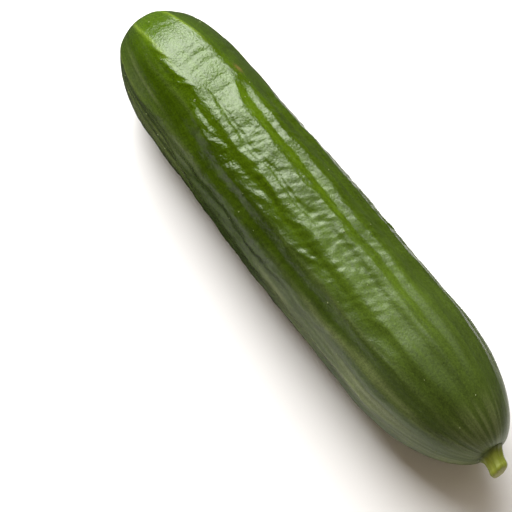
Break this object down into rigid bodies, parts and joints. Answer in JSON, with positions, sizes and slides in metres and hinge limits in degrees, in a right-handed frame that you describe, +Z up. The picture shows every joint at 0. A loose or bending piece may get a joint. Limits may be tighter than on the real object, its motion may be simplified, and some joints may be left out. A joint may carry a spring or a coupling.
{
  "type": "cucumber",
  "caption": "Whole green cucumber with shallow ridges and blunt, rounded ends, lying on its side, with a short piece of cut stem at the thicker end.",
  "frame": {"origin": "on the surface that the cucumber lies on, under the middle of its outline", "axes": "+X along the fruit from the blossom end to the stem, +Z up"},
  "size_m": [0.1658, 0.0378, 0.0373],
  "materials": {
    "skin": "waxy, half gloss, dark green with paler stripes at the blossom end",
    "stalk": "fibrous, dull, yellow-green"
  },
  "bodies": {
    "root": {"fruit": "skin", "stem": "stalk"}
  },
  "joints": []
}
